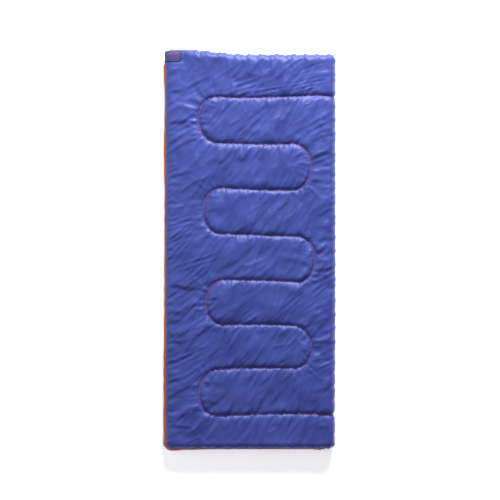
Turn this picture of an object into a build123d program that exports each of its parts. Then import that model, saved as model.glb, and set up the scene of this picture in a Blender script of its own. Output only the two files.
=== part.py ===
from build123d import *
import os

# Rectangular sleeping bag, lying closed and flat. It is one quilt folded along its right side (+X)
# and zipped along its left side and its foot, so it opens out flat.
# Millimetres. +Z is up, +Y is towards the head, and the origin is on the ground at the middle.

os.makedirs("parts", exist_ok=True)

# ---- Overall sizes ----
overall_length = 1900.0
overall_width = 815.0
pad_thickness = 32.0
cavity_gap = 10.0

# ---- Fabric and filling ----
fabric_thickness = 1.0
outer_edge_radius = 14.0
lining_edge_radius = 8.0
lining_seam_margin = 2.0
corner_radius = 24.0

# ---- Quilting: one serpentine seam on each face ----
rows_from_head = (224.0, 445.0, 662.0, 880.0, 1097.0, 1307.0, 1512.0, 1729.0)
left_turns_from_zip = (154.0, 182.0, 189.0, 164.0)
right_turns_from_fold = (112.0, 97.0, 108.0)
turn_depth = 88.0
groove_radius = 8.0
thread_radius = 1.0
thread_gap = 0.05
thread_end_from_fold = 6.0

# ---- Zip: a coil chain that stands on edge round the side, the corner and the foot ----
zip_corner_radius = 30.0
tape_thickness = 1.0
tape_width = 12.0
coil_depth = 3.0
coil_width = 3.2
coil_parting = 0.8
chain_end_from_fold = 50.0
tape_tail = 2.0
stop_length = 3.0
stop_gap = 0.4
stop_depth = 3.6

# ---- Sliders and pulls ----
running_gap = 0.3
slider_length = 14.0
slider_half_width = 6.0
slider_taper = 0.6
slider_corner_radius = 1.2
plate_thickness = 1.2
slot_half_width = 0.9
divider_length = 3.0
divider_half_width = 0.5
bail_half_length = 5.4
bail_half_width = 1.2
bail_thickness = 1.2
bail_clear_height = 2.1
bail_corner_radius = 1.4
pull_bar_radius = 0.7
pull_arm_gap = 0.4
pull_arm_length = 6.6
pull_half_width = 3.5
pull_thickness = 1.2
pull_length = 30.0
pull_hole_radius = 1.4
pull_hole_from_end = 4.5
head_slider_from_head = 73.0
corner_pull_overhang = 6.0

# ---- Retainer box and insertion pin at the closed end of the zip ----
retainer_length = 9.0
retainer_height = 7.0
retainer_depth = 4.8
retainer_wall = 1.2
retainer_floor = 3.0
pin_gap = 0.4
foot_slider_from_retainer = 4.0

# ---- Closure tab at the head end of the zip ----
tab_from_head = 7.0
tab_width = 53.0
tab_reach = 78.0
tab_thickness = 1.6
tab_lip_from_ground = 12.0
tab_corner_cut = 12.0
binding_width = 4.5
binding_thickness = 0.6
zigzag_count = 6
zigzag_pitch = 7.0
zigzag_height = 10.0
zigzag_line = 1.2
zigzag_thickness = 0.5
zigzag_from_head_edge = 20.0
patch_thickness = 1.2
patch_from_tab_edge = 3.0
patch_corner_margin = 2.0

# ---- The fold along the right side ----
fold_radius_gap = 0.3
fold_side_gap = 0.3
fold_foot_reach = 14.0
fold_foot_height = 3.0

# ---- Places that follow from the sizes ----
plate_inner = coil_depth / 2 + running_gap
plate_outer = plate_inner + plate_thickness
bail_outer = plate_outer + bail_clear_height + bail_thickness
pull_height = plate_outer + bail_clear_height / 2
mid_z = pad_thickness + cavity_gap / 2
upper_low_z = pad_thickness + cavity_gap
total_height = 2 * pad_thickness + cavity_gap

zip_x = -overall_width / 2 + bail_outer
zip_y = -overall_length / 2 + bail_outer
fold_radius = cavity_gap / 2 - fold_radius_gap
fold_x = overall_width / 2 - fold_radius

pad_zip_x = zip_x + tape_thickness / 2
pad_foot_y = zip_y + tape_thickness / 2
pad_fold_x = fold_x - fold_side_gap
pad_head_y = overall_length / 2

coil_outer_edge = coil_parting + coil_width
zip_corner_x = zip_x + zip_corner_radius
zip_corner_y = zip_y + zip_corner_radius
head_slider_y = pad_head_y - head_slider_from_head
head_stop_y = head_slider_y + slider_length / 2 + stop_gap
tape_head_y = head_stop_y + stop_length + tape_tail / 2
chain_end_x = fold_x - chain_end_from_fold
retainer_x = chain_end_x - retainer_length
tape_end_x = chain_end_x + tape_tail
foot_slider_x = retainer_x - foot_slider_from_retainer - slider_length / 2

row_ys = [pad_head_y - distance for distance in rows_from_head]
left_turn_xs = [pad_zip_x + distance for distance in left_turns_from_zip]
right_turn_xs = [pad_fold_x - distance for distance in right_turns_from_fold]

tab_head_y = pad_head_y - tab_from_head
tab_foot_y = tab_head_y - tab_width
tab_hinge_x = zip_x + tab_reach
tab_stand_off = 2 * patch_thickness + running_gap

HEAD_SLIDER_PLANE = Plane(origin=(zip_x, head_slider_y, mid_z), x_dir=(0, -1, 0), z_dir=(-1, 0, 0))
FOOT_SLIDER_PLANE = Plane(origin=(foot_slider_x, zip_y, mid_z), x_dir=(-1, 0, 0), z_dir=(0, -1, 0))
MIDDLE_PLANE = Plane.XY.offset(mid_z)


def box_between(low, high):
    """A block given by its lowest and highest corners."""
    size = [top - bottom for bottom, top in zip(low, high)]
    centre = [(top + bottom) / 2 for bottom, top in zip(low, high)]
    return Pos(*centre) * Box(*size)


def lower_of(upper):
    """The lower half's copy of an upper piece, mirrored in the plane between the two halves."""
    return mirror(upper, about=MIDDLE_PLANE)


# ---- Pads: shell, batting and lining ----
def pad_outline(inset):
    """A pad's outline from above, drawn in all round. The zip corner follows the zip's own bend."""
    low = (pad_zip_x + inset, pad_foot_y + inset)
    high = (pad_fold_x - inset, pad_head_y - inset)
    sheet = Rectangle(high[0] - low[0], high[1] - low[1])
    sheet = Pos((low[0] + high[0]) / 2, (low[1] + high[1]) / 2) * sheet
    zip_corner = sheet.vertices().sort_by_distance((low[0], low[1], 0))[0]
    sheet = fillet(zip_corner, zip_corner_radius - tape_thickness / 2 - inset)
    for corner in ((low[0], high[1], 0), (high[0], low[1], 0), (high[0], high[1], 0)):
        vertex = sheet.vertices().sort_by_distance(corner)[0]
        sheet = fillet(vertex, corner_radius - inset)
    return sheet


def pad_form(inset):
    """The upper pad's rounded block, drawn in on every side."""
    block = extrude(pad_outline(inset), amount=pad_thickness - 2 * inset)
    block = Pos(0, 0, upper_low_z + inset) * block
    outer_edges = block.faces().sort_by(Axis.Z)[-1].edges()
    block = fillet(outer_edges, outer_edge_radius - inset)
    lining_edges = block.faces().sort_by(Axis.Z)[0].edges()
    return fillet(lining_edges, lining_edge_radius - inset)


def quilting_path(height, end_x):
    """The serpentine seam: straight rows joined by half ellipses, both ends at the fold side."""
    runs = []
    x_now = end_x
    for row in range(len(row_ys) - 1):
        y_now = row_ys[row]
        half_pitch = (y_now - row_ys[row + 1]) / 2
        leftward = row % 2 == 0
        extreme_x = left_turn_xs[row // 2] if leftward else right_turn_xs[row // 2]
        turn_x = extreme_x + turn_depth if leftward else extreme_x - turn_depth
        centre = (turn_x, y_now - half_pitch, height)
        sweep_angle = 180 if leftward else -180
        runs.append(Line((x_now, y_now, height), (turn_x, y_now, height)))
        runs.append(EllipticalCenterArc(centre, turn_depth, half_pitch, 90, arc_size=sweep_angle))
        x_now = turn_x
    runs.append(Line((x_now, row_ys[-1], height), (end_x, row_ys[-1], height)))
    return Wire(runs)


def quilting_bead(radius, height, end_x):
    """A round bead along the serpentine seam."""
    path = quilting_path(height, end_x)
    section = Plane(origin=path @ 0, z_dir=path % 0) * Circle(radius)
    return sweep(section, path=path)


def upper_pad():
    """Shell, batting and lining of the upper half. The quilting draws a groove into the outer face."""
    past_fold_x = pad_fold_x + 2 * groove_radius
    outside = pad_form(0) - quilting_bead(groove_radius, total_height, past_fold_x)
    batting = pad_form(fabric_thickness)
    batting = batting - quilting_bead(groove_radius + fabric_thickness, total_height, past_fold_x)
    lining = extrude(pad_outline(lining_edge_radius + lining_seam_margin), amount=fabric_thickness)
    lining = Pos(0, 0, upper_low_z) * lining
    shell = outside - batting - lining
    return shell, batting, lining


def upper_thread():
    """The quilting thread, lying on the bottom of the groove."""
    height = total_height - groove_radius + thread_radius + thread_gap
    return quilting_bead(thread_radius, height, fold_x - thread_end_from_fold)


def side_fold():
    """The folded edge between the two halves: a round rib on the fold line, with a foot on the lining."""
    length = pad_head_y - pad_foot_y - 2 * corner_radius
    middle_y = (pad_head_y + pad_foot_y) / 2
    rib = Pos(fold_x, middle_y, mid_z) * Rot(90, 0, 0) * Cylinder(fold_radius, length)
    low = (fold_x - fold_foot_reach, middle_y - length / 2, pad_thickness)
    high = (fold_x - fold_radius / 2, middle_y + length / 2, pad_thickness + fold_foot_height)
    return rib + box_between(low, high)


# ---- Zip ----
def zip_band(inner, outer, low_z, high_z, head_y, end_x):
    """A strip that follows the zip line, between two distances outside it: side, corner arc and foot."""
    diagonal = 0.5 ** 0.5
    edges = []
    corners = []
    for distance in (outer, inner):
        reach = (zip_corner_radius + distance) * diagonal
        head = (zip_x - distance, head_y)
        arc_head = (zip_x - distance, zip_corner_y)
        arc_middle = (zip_corner_x - reach, zip_corner_y - reach)
        arc_foot = (zip_corner_x, zip_y - distance)
        end = (end_x, zip_y - distance)
        edges += [Line(head, arc_head), ThreePointArc(arc_head, arc_middle, arc_foot), Line(arc_foot, end)]
        corners.append((head, end))
    edges.append(Line(corners[0][0], corners[1][0]))
    edges.append(Line(corners[0][1], corners[1][1]))
    return Pos(0, 0, low_z) * extrude(make_face(edges), amount=high_z - low_z)


def upper_tape():
    """The upper half's zip tape, from the chain up the pad's side face."""
    low_z = mid_z + coil_outer_edge
    half = tape_thickness / 2
    return zip_band(-half, half, low_z, low_z + tape_width, tape_head_y, tape_end_x)


def upper_coil():
    """The upper coil. It stops short of both sliders' closed places, where the two halves part."""
    half = coil_depth / 2
    head_y = head_slider_y - slider_length / 2 - stop_gap
    end_x = foot_slider_x - slider_length / 2 - stop_gap
    return zip_band(-half, half, mid_z + coil_parting, mid_z + coil_outer_edge, head_y, end_x)


def lower_coil():
    """The lower coil, which runs on through both sliders."""
    half = coil_depth / 2
    head_y = head_stop_y
    return zip_band(-half, half, mid_z - coil_outer_edge, mid_z - coil_parting, head_y, retainer_x)


def upper_top_stop():
    """The metal stop at the head end of the upper coil."""
    low = (zip_x - stop_depth / 2, head_stop_y, mid_z + coil_parting)
    high = (zip_x + stop_depth / 2, head_stop_y + stop_length, mid_z + coil_outer_edge)
    return box_between(low, high)


def retainer_box():
    """The box at the closed end of the zip, open at the top for the insertion pin."""
    low_z = mid_z - coil_outer_edge
    low = (retainer_x, zip_y - retainer_depth / 2, low_z)
    high = (chain_end_x, zip_y + retainer_depth / 2, low_z + retainer_height)
    pocket_low = (retainer_x + retainer_wall, zip_y - retainer_depth / 2 + retainer_wall, low_z + retainer_floor)
    pocket_high = (chain_end_x - retainer_wall, zip_y + retainer_depth / 2 - retainer_wall, high[2] + 1)
    return box_between(low, high) - box_between(pocket_low, pocket_high)


def insertion_pin():
    """The upper tape's pin, which drops into the retainer box."""
    half = retainer_depth / 2 - retainer_wall - pin_gap
    low_z = mid_z - coil_outer_edge + retainer_floor + pin_gap
    low = (retainer_x + retainer_wall + pin_gap, zip_y - half, low_z)
    high = (chain_end_x - retainer_wall - pin_gap, zip_y + half, mid_z + coil_outer_edge)
    return box_between(low, high)


# ---- Sliders. In their own frame X runs to the pull, Y across the chain and Z out of the bag ----
def slider_plan():
    """A slider plate's outline: wide at the closing end, a little narrower at the other."""
    half = slider_length / 2
    narrow = slider_half_width - slider_taper
    points = [(-half, -slider_half_width), (-half, slider_half_width), (half, narrow), (half, -narrow)]
    plan = make_face(Polyline(*points, close=True))
    return fillet(plan.vertices(), slider_corner_radius)


def slider_body():
    """Two plates joined by the divider, each with flanges that hold the coils."""
    plan = slider_plan()
    channel = Rectangle(2 * slider_length, 2 * (coil_outer_edge + running_gap))
    plate = Pos(0, 0, plate_inner) * extrude(plan, amount=plate_thickness)
    flanges = Pos(0, 0, slot_half_width) * extrude(plan - channel, amount=plate_inner - slot_half_width)
    outer_side = plate + flanges
    inner_side = mirror(outer_side, about=Plane.XY)
    divider = Box(divider_length, 2 * divider_half_width, 2 * plate_inner)
    divider = Pos(-slider_length / 2 + divider_length / 2 + slider_corner_radius, 0, 0) * divider
    return outer_side + inner_side + divider


def slider_bail():
    """The bridge on a slider's plate that holds the pull's bar."""
    height = bail_clear_height + bail_thickness
    arch = Pos(0, height / 2) * Rectangle(2 * bail_half_length, height)
    top_corners = arch.vertices().group_by(Axis.Y)[-1]
    arch = fillet(top_corners, bail_corner_radius)
    hollow = Rectangle(2 * (bail_half_length - bail_thickness), bail_clear_height)
    arch = arch - Pos(0, bail_clear_height / 2) * hollow
    bridge = extrude(arch, amount=bail_half_width, both=True)
    return Pos(0, 0, plate_outer) * Rot(90, 0, 0) * bridge


def slider_pull():
    """The pull: a bar under the bail, two arms beside it, and a plate with a hole at the end."""
    arm_inner = bail_half_width + pull_arm_gap
    outline = Pos(pull_length / 2, 0) * Rectangle(pull_length, 2 * pull_half_width)
    end_corners = outline.vertices().group_by(Axis.X)[-1]
    outline = fillet(end_corners, pull_half_width * 0.7)
    window = Pos(pull_arm_length / 2, 0) * Rectangle(pull_arm_length, 2 * arm_inner)
    hole = Pos(pull_length - pull_hole_from_end, 0) * Circle(pull_hole_radius)
    plate = extrude(outline - window - hole, amount=pull_thickness / 2, both=True)
    bar = Rot(90, 0, 0) * Cylinder(pull_bar_radius, 2 * pull_half_width)
    return Pos(0, 0, pull_height) * (plate + bar)


# ---- Closure tab. Its outline is drawn in a plane across the bag and runs along Y ----
def tab_layer(inner, outer, start_x, lip_z, y_low, y_high):
    """A layer of the tab between two distances from its under face: flat top, bend and side lip."""
    bend_x = pad_zip_x + outer_edge_radius
    bend_radius = outer_edge_radius + tab_stand_off
    bend_z = total_height - bend_radius
    diagonal = 0.5 ** 0.5
    edges = []
    ends = []
    for distance in (inner, outer):
        radius = bend_radius + distance
        start = (start_x, total_height + distance)
        bend_start = (bend_x, total_height + distance)
        bend_middle = (bend_x - radius * diagonal, bend_z + radius * diagonal)
        bend_end = (bend_x - radius, bend_z)
        lip = (bend_x - radius, lip_z)
        edges += [Line(start, bend_start), ThreePointArc(bend_start, bend_middle, bend_end), Line(bend_end, lip)]
        ends.append((start, lip))
    edges.append(Line(ends[0][0], ends[1][0]))
    edges.append(Line(ends[0][1], ends[1][1]))
    section_plane = Plane(origin=(0, y_high, 0), x_dir=(1, 0, 0), z_dir=(0, -1, 0))
    return extrude(section_plane * make_face(edges), amount=y_high - y_low)


def tab_corner_cutter():
    """The prism that cuts the tab's corner off at its sewn end, on the foot side."""
    corner = (tab_hinge_x, tab_foot_y)
    points = [corner, (corner[0], corner[1] + tab_corner_cut), (corner[0] - tab_corner_cut, corner[1])]
    prism = extrude(make_face(Polyline(*points, close=True)), amount=total_height)
    return Pos(0, 0, total_height / 2) * prism


def tab_webbing():
    """The tab's ribbed webbing."""
    strap = tab_layer(0, tab_thickness, tab_hinge_x, tab_lip_from_ground, tab_foot_y, tab_head_y)
    return strap - tab_corner_cutter()


def tab_binding():
    """The dark binding on the tab's foot edge, its cut corner and its sewn end."""
    top = tab_thickness + binding_thickness
    whole = tab_layer(tab_thickness, top, tab_hinge_x, tab_lip_from_ground, tab_foot_y, tab_head_y)
    end_x = tab_hinge_x - binding_width
    lip_z = tab_lip_from_ground - 1
    shift = Pos(-binding_width, binding_width, 0)
    inner_part = tab_layer(0, 2 * top, end_x, lip_z, tab_foot_y + binding_width, tab_head_y + 1)
    inner_part = inner_part - shift * tab_corner_cutter()
    return whole - tab_corner_cutter() - inner_part


def tab_zigzag():
    """A plain zigzag of thick thread across the top of the tab."""
    low_x = pad_zip_x + outer_edge_radius + zigzag_line
    base_y = tab_head_y - zigzag_from_head_edge
    points = []
    for step in range(zigzag_count + 1):
        points.append((low_x + step * zigzag_pitch, base_y + (step % 2) * zigzag_height))
    line = trace(Polyline(*points), zigzag_line)
    return Pos(0, 0, total_height + tab_thickness) * extrude(line, amount=zigzag_thickness)


def patch(face_x):
    """A fastening patch that stands on edge on the bag's zip side, from face_x outwards."""
    low_z = outer_edge_radius
    high_z = pad_thickness - lining_edge_radius
    low_y = tab_foot_y + patch_from_tab_edge
    high_y = pad_head_y - corner_radius - patch_corner_margin
    return box_between((face_x - patch_thickness, low_y, low_z), (face_x, high_y, high_z))


# ---- Write one file for each piece ----
shell, batting, lining = upper_pad()
thread = upper_thread()
tape = upper_tape()
top_stop = upper_top_stop()
bail = slider_bail()
pull = slider_pull()
head_place = HEAD_SLIDER_PLANE.location
foot_place = FOOT_SLIDER_PLANE.location

pieces = {
    "upper_shell": shell,
    "upper_batting": batting,
    "upper_lining": lining,
    "upper_quilting_thread": thread,
    "zip_tape_upper": tape,
    "zip_coil_upper": upper_coil(),
    "zip_top_stop_upper": top_stop,
    "zip_insertion_pin": insertion_pin(),
    "lower_shell": lower_of(shell),
    "lower_batting": lower_of(batting),
    "lower_lining": lower_of(lining),
    "lower_quilting_thread": lower_of(thread),
    "zip_tape_lower": lower_of(tape),
    "zip_coil_lower": lower_coil(),
    "zip_top_stop_lower": lower_of(top_stop),
    "zip_retainer_box": retainer_box(),
    "side_fold": side_fold(),
    "loop_patch": patch(pad_zip_x),
    "tab_webbing": tab_webbing(),
    "tab_binding": tab_binding(),
    "tab_zigzag_stitch": tab_zigzag(),
    "tab_hook_patch": patch(pad_zip_x - patch_thickness - running_gap),
    "head_slider_body": head_place * slider_body(),
    "head_slider_outer_bail": head_place * bail,
    "head_slider_inner_bail": head_place * mirror(bail, about=Plane.XY),
    "head_pull_outer": head_place * pull,
    "head_pull_inner": head_place * mirror(pull, about=Plane.XY),
    "foot_slider_body": foot_place * slider_body(),
    "foot_slider_bail": foot_place * bail,
    "foot_pull": foot_place * pull,
}

for name, piece in pieces.items():
    export_step(piece, f"parts/{name}.step")

head_travel = head_slider_y - (zip_corner_y + pull_length - corner_pull_overhang)
foot_travel = foot_slider_x - (zip_corner_x + pull_length - corner_pull_overhang)
print("fold line x and z", fold_x, mid_z)
print("zip line x and y", zip_x, zip_y)
print("head slider y and travel", head_slider_y, head_travel)
print("foot slider x and travel", foot_slider_x, foot_travel)
print("pull bar out from the zip line", pull_height)
print("tab hinge x and z", tab_hinge_x, total_height + tab_thickness + binding_thickness)
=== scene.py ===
# %% [markdown]
# # A rectangular sleeping bag, lying closed
# The bag is one quilt: a satin-finish polyester shell outside, a brushed lining inside and hollow-fibre
# wadding between them, held by one serpentine quilting seam. It is folded along its right side and
# zipped along its left side and its foot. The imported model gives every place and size, in metres,
# and this script makes the cloth, the thread, the zip and the tab that the eye sees.

# %% Load the frame
import math

import bpy
import numpy as np
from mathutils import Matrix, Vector


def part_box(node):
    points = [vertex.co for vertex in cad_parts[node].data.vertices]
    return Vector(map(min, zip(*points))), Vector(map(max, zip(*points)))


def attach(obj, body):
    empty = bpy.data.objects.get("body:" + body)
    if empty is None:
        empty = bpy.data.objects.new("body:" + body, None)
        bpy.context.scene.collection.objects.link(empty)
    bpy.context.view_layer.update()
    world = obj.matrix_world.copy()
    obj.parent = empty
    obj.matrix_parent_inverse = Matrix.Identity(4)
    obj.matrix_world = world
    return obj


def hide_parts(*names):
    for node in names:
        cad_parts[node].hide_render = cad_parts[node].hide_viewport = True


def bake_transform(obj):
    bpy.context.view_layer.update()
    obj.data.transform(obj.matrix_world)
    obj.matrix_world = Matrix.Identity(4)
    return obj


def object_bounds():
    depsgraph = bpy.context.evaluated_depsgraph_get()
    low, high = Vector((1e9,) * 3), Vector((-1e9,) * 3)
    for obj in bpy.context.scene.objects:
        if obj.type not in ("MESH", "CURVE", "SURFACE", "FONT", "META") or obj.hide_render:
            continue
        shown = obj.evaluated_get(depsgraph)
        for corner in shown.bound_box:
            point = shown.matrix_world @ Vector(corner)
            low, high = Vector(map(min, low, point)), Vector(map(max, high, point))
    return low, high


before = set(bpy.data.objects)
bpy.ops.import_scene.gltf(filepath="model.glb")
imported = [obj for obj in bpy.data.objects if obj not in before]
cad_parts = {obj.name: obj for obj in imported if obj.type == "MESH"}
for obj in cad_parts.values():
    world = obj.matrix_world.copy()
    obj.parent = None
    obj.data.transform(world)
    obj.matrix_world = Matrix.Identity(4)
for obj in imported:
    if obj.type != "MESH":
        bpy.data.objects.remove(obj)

scene = bpy.context.scene
cad_low, cad_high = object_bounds()
print("CAD box", [round(v, 4) for v in cad_low], [round(v, 4) for v in cad_high])

# %% [markdown]
# ## Places read from the frame
# The cloth has to meet the zip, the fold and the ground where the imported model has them. So the main
# places are read from the boxes of its nodes, and only the sewing's own sizes are written here.

# %% Places and sizes
MM = 0.001
shell_low, shell_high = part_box("upper_shell")
lower_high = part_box("lower_shell")[1]
tape_low, tape_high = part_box("zip_tape_upper")
coil_low, coil_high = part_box("zip_coil_lower")
upper_coil_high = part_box("zip_coil_upper")[1]
fold_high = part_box("side_fold")[1]

TOP_Z = shell_high.z
MID_Z = (shell_low.z + lower_high.z) / 2
UPPER_LINING_Z = shell_low.z
LOWER_LINING_Z = lower_high.z
ZIP_X = (coil_low.x + tape_low.x) / 2 + 1.0 * MM
ZIP_Y = (coil_low.y + tape_low.y) / 2 + 1.0 * MM
ZIP_CORNER = 30 * MM
FOLD_AXIS_X = fold_high.x - 4.7 * MM
FOLD_X = cad_high.x
HEAD_Y = shell_high.y
SEAM_ABOVE_ZIP = 13 * MM

ROWS_FROM_HEAD = (224, 445, 662, 880, 1097, 1307, 1512, 1729)
LEFT_TURNS_FROM_ZIP = (154, 182, 189, 164)
RIGHT_TURNS_FROM_FOLD = (112, 97, 108)
TURN_DEPTH = 88 * MM
row_ys = HEAD_Y - np.array(ROWS_FROM_HEAD) * MM
left_turn_xs = shell_low.x + np.array(LEFT_TURNS_FROM_ZIP) * MM
right_turn_xs = shell_high.x - np.array(RIGHT_TURNS_FROM_FOLD) * MM
print("zip line", round(ZIP_X, 4), round(ZIP_Y, 4), "fold", round(FOLD_AXIS_X, 4), "top", round(TOP_Z, 4))

# %% [markdown]
# ## Helpers for meshes and materials
# Every surface here is a grid of points worked out with whole arrays. One function turns such a grid
# into a mesh, and one small function adds a shader node with its settings and links.


# %% Mesh helpers
def smooth(t):
    """Zero below 0, one above 1, and an S-curve between: 3 t squared minus 2 t cubed."""
    t = np.clip(t, 0, 1)
    return t * t * (3 - 2 * t)


def grid_faces(rows, columns, closed_rows=False, closed_columns=False):
    """The four-cornered faces of a grid of points numbered row by row."""
    j = np.arange(rows if closed_rows else rows - 1)
    i = np.arange(columns if closed_columns else columns - 1)
    j, i = np.meshgrid(j, i, indexing="ij")
    j_next, i_next = (j + 1) % rows, (i + 1) % columns
    corners = [j * columns + i, j * columns + i_next, j_next * columns + i_next, j_next * columns + i]
    return np.stack(corners, -1).reshape(-1, 4)


def make_mesh(name, points, faces, uv=None, flat_shaded=False):
    """A mesh object from an array of points and an array of faces, with a UV place for each point."""
    points = np.asarray(points, np.float32).reshape(-1, 3)
    faces = np.asarray(faces, np.int32)
    sides = faces.shape[1]
    mesh = bpy.data.meshes.new(name)
    mesh.vertices.add(len(points))
    mesh.vertices.foreach_set("co", points.ravel())
    mesh.loops.add(faces.size)
    mesh.loops.foreach_set("vertex_index", faces.ravel())
    mesh.polygons.add(len(faces))
    mesh.polygons.foreach_set("loop_start", np.arange(0, faces.size, sides, dtype=np.int32))
    mesh.polygons.foreach_set("use_smooth", np.full(len(faces), not flat_shaded))
    if uv is not None:
        layer = mesh.uv_layers.new(name="cloth")
        layer.data.foreach_set("uv", np.asarray(uv, np.float32).reshape(-1, 2)[faces.ravel()].ravel())
    mesh.update(calc_edges=True)
    mesh.validate()
    made = bpy.data.objects.new(name, mesh)
    scene.collection.objects.link(made)
    return made


# %% Material helpers
def linear(hex_colour):
    """An sRGB hex colour as linear red, green, blue and an alpha of one."""
    parts = [int(hex_colour[k : k + 2], 16) / 255 for k in (1, 3, 5)]
    return [c / 12.92 if c <= 0.04045 else ((c + 0.055) / 1.055) ** 2.4 for c in parts] + [1.0]


def set_sockets(node, **values):
    """Sets sockets by name, with an underscore for each space."""
    for name, value in values.items():
        node.inputs[name.replace("_", " ")].default_value = value


def add_node(tree, kind, links=(), **settings):
    """Adds a node. A setting whose name is a socket sets that socket, and links are (socket, output)."""
    node = tree.nodes.new("ShaderNode" + kind)
    for name, value in settings.items():
        if name in ("operation", "bands_direction", "uv_map"):
            setattr(node, name, value)
        else:
            set_sockets(node, **{name: value})
    for socket, output in links:
        tree.links.new(output, node.inputs[socket])
    return node


def new_material(name):
    """An empty node material with a Principled shader: returns the material, its tree and the shader."""
    material = bpy.data.materials.new(name)
    material.use_nodes = True
    tree = material.node_tree
    return material, tree, tree.nodes["Principled BSDF"]


def ramp(tree, source, stops):
    """A colour ramp node over (place, hex colour) stops."""
    node = tree.nodes.new("ShaderNodeValToRGB")
    while len(node.color_ramp.elements) < len(stops):
        node.color_ramp.elements.new(0.5)
    for element, (place, colour) in zip(node.color_ramp.elements, stops):
        element.position = place
        element.color = linear(colour)
    tree.links.new(source, node.inputs["Fac"])
    return node


def speckled(name, dark, light, roughness, scale, detail=2.0, stops=(0.3, 0.7)):
    """A finish that drifts between two shades: returns the material, its tree, shader and noise node."""
    material, tree, shader = new_material(name)
    place = add_node(tree, "TexCoord")
    noise = add_node(tree, "TexNoise", [("Vector", place.outputs["Object"])], Scale=scale, Detail=detail)
    colour = ramp(tree, noise.outputs[0], [(stops[0], dark), (stops[1], light)])
    tree.links.new(colour.outputs[0], shader.inputs["Base Color"])
    set_sockets(shader, Roughness=roughness)
    return material, tree, shader, noise


def add_bump(tree, shader, height, strength, distance):
    """Lets a height output raise the surface by up to a distance."""
    bump = add_node(tree, "Bump", [("Height", height)], Strength=strength, Distance=distance)
    tree.links.new(bump.outputs[0], shader.inputs["Normal"])


def dress(piece, material):
    """Gives a piece its one material."""
    piece.data.materials.clear()
    piece.data.materials.append(material)
    return piece


# %% [markdown]
# ## Camera, lights and floor
# The bag is seen from straight above with its head at the top. A long lens keeps the sides upright. The
# light is a large soft window beyond the head and a little to the right, so that the folds show.

# %% Camera, lights and floor
scene.view_settings.view_transform = "Standard"
CAMERA_LENS = 85.0
FRAME_WIDTH = 2.372
camera_data = bpy.data.cameras.new("camera")
camera_data.lens = CAMERA_LENS
camera_data.sensor_width = 36.0
camera = bpy.data.objects.new("camera", camera_data)
scene.collection.objects.link(camera)
camera.location = (0.0, 0.0, TOP_Z * 0.6 + FRAME_WIDTH * CAMERA_LENS / 36.0)
camera_data.clip_end = 50
scene.camera = camera


def area_light(name, place, aim, size, watts, colour="#ffffff"):
    """A square soft light at place that faces aim."""
    data = bpy.data.lights.new(name, "AREA")
    data.size = size
    data.energy = watts
    data.color = linear(colour)[:3]
    lamp = bpy.data.objects.new(name, data)
    scene.collection.objects.link(lamp)
    direction = np.array(aim, float) - np.array(place, float)
    lamp.location = place
    lamp.rotation_euler = Vector(direction).to_track_quat("-Z", "Y").to_euler()
    return lamp


area_light("key", (0.9, 4.6, 2.4), (0, 0.0, 0), 1.7, 570)
area_light("fill", (-3.0, 0.2, 2.6), (0, 0, 0), 2.0, 30)
world = bpy.data.worlds.new("studio")
world.use_nodes = True
set_sockets(world.node_tree.nodes["Background"], Color=linear("#f4f6ff"), Strength=0.30)
scene.world = world

floor_material, _, floor_shader = new_material("white_paper_sweep")
set_sockets(floor_shader, Roughness=0.95, Base_Color=linear("#fbfbfb"))
set_sockets(floor_shader, Emission_Color=linear("#ffffff"), Emission_Strength=0.5)
FLOOR_HALF = 6.0
floor_corners = [(x, y, -0.4 * MM) for x, y in ((-1, -1), (1, -1), (1, 1), (-1, 1))]
floor_points = [(x * FLOOR_HALF, y * FLOOR_HALF, z) for x, y, z in floor_corners]
floor = dress(make_mesh("floor", floor_points, [[0, 1, 2, 3]]), floor_material)
print("camera height", round(camera.location.z, 3))

# %% [markdown]
# ## The quilting seam's line
# One seam crosses the quilt eight times: straight rows joined by half ellipses, both ends at the fold.
# The cloth needs to know how far each of its points is from the seam, and where along it, because the
# thread draws the cloth up into small puckers that stand square to the seam.


# %% The quilting seam's line
SEAM_STEP = 2.5 * MM


def seam_line(step):
    """Points about one step apart along the serpentine: rows, and half ellipses sampled by angle."""
    points = []
    x_now = FOLD_X
    for row in range(len(row_ys) - 1):
        leftward = row % 2 == 0
        extreme = left_turn_xs[row // 2] if leftward else right_turn_xs[row // 2]
        way = -1 if leftward else 1
        turn_x = extreme - way * TURN_DEPTH
        half = (row_ys[row] - row_ys[row + 1]) / 2
        count = max(2, int(abs(turn_x - x_now) / step))
        xs = np.linspace(x_now, turn_x, count, endpoint=False)
        points.append(np.stack([xs, np.full(count, row_ys[row])], 1))
        count = int(math.pi * (TURN_DEPTH + half) / 2 / step)
        angle = np.linspace(0, math.pi, count, endpoint=False)
        arc_x = turn_x + way * TURN_DEPTH * np.sin(angle)
        points.append(np.stack([arc_x, row_ys[row] - half + half * np.cos(angle)], 1))
        x_now = turn_x
    count = int(abs(FOLD_X - x_now) / step)
    points.append(np.stack([np.linspace(x_now, FOLD_X, count), np.full(count, row_ys[-1])], 1))
    return np.concatenate(points)


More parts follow.
